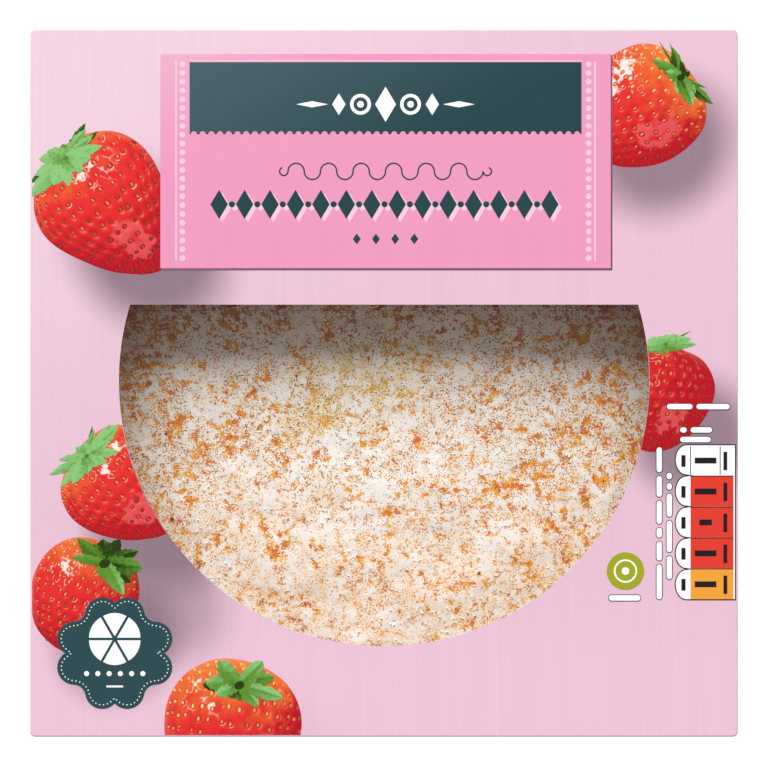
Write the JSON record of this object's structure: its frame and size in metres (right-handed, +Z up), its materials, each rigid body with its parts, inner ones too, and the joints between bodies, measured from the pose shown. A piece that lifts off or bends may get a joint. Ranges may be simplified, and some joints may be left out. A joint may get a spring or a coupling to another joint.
{
  "type": "boxed victoria sponge cake",
  "caption": "Square folded board cake carton with a hinged lid and a clear film window, shut over a round sponge cake dusted with icing sugar.",
  "frame": {"origin": "middle of the carton's base, on the surface that it stands on", "axes": "+Z up, out of the window; +Y towards the wall that the lid hinges on, which is the top of the printed design; +X to the right of the design"},
  "size_m": [0.17, 0.17, 0.065],
  "materials": {
    "printed_board": "pale pink printed folding board with a satin varnish",
    "clear_film": "clear glossy plastic film",
    "sugared_sponge": "golden baked sponge under a fine patchy dusting of icing sugar"
  },
  "bodies": {
    "root": {"carton": "printed_board", "window_film": "clear_film", "cake": "sugared_sponge"}
  },
  "joints": []
}
